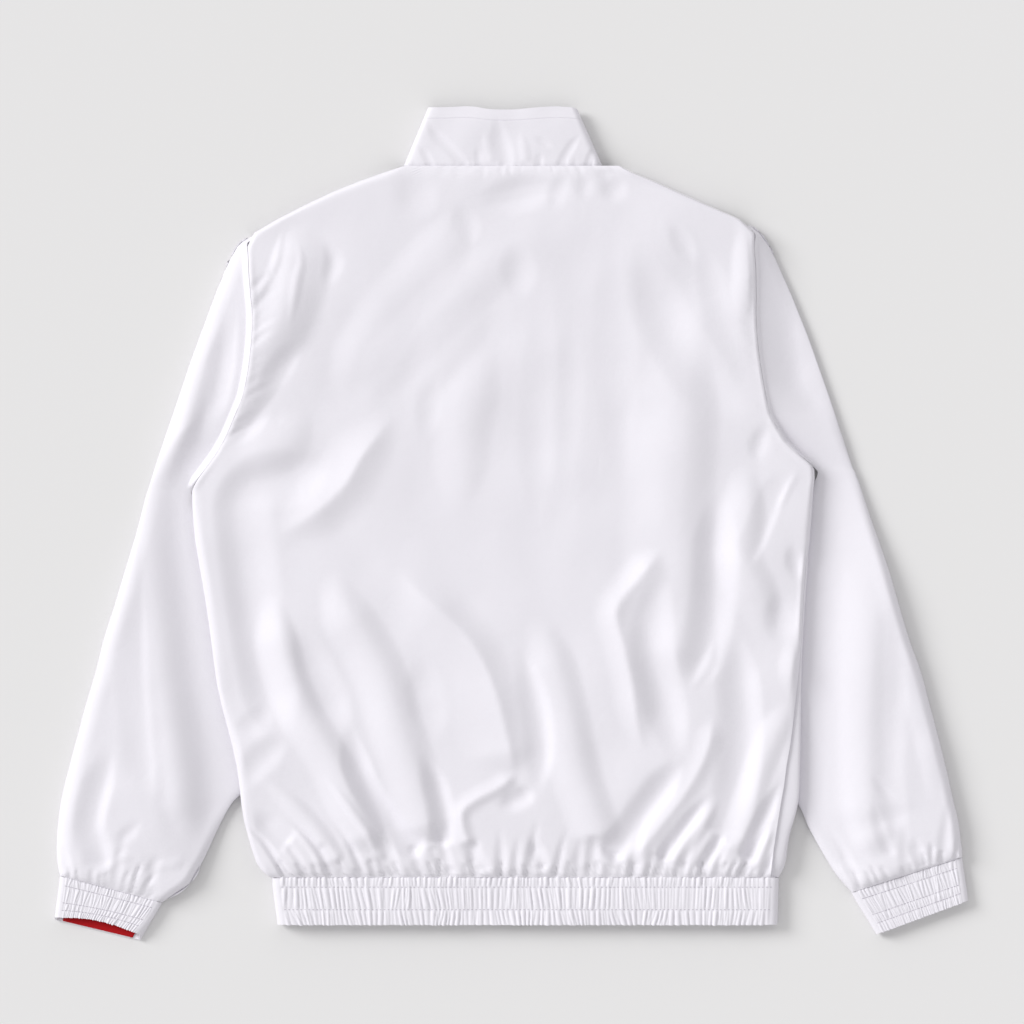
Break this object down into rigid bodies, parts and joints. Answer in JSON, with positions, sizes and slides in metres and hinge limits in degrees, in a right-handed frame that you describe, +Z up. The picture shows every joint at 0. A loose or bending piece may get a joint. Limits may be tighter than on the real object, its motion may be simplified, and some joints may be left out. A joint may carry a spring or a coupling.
{
  "type": "windbreaker jacket",
  "caption": "White windbreaker jacket laid flat on its front, sleeves folded down beneath its sides, with stand collar, elastic cuffs and hem and a front zip.",
  "frame": {"origin": "centre of the jacket's bounding box in X and Y, on the surface it lies on", "axes": "+X to the right as seen from above, +Y towards the collar, +Z up from the surface through the back of the jacket"},
  "size_m": [0.85, 0.7758, 0.0239],
  "materials": {
    "shell": "smooth woven, soft sheen",
    "band": "gathered over elastic",
    "lining": "smooth woven",
    "zip_tape": "woven tape with moulded teeth",
    "zip_metal": "satin"
  },
  "bodies": {
    "jacket": {"back_panel": "shell", "front_left": "shell", "front_right": "shell", "sleeve_left": "shell", "sleeve_right": "shell", "hem_band": "band", "cuff_left": "band", "cuff_right": "band", "cuff_lining_left": "lining", "collar": "shell", "collar_band": "shell", "zip_left": "zip_tape", "zip_right": "zip_tape", "zip_slider": "zip_metal", "zip_box": "zip_metal"},
    "zip_pull": {"zip_pull": "zip_metal"}
  },
  "joints": [
    {"name": "zip_pull_swing", "type": "hinge", "parent": "jacket", "child": "zip_pull", "pos_m": [0.005, 0.3055, 0.00245], "axis": [1, 0, 0], "range_deg": [0, 150]}
  ]
}
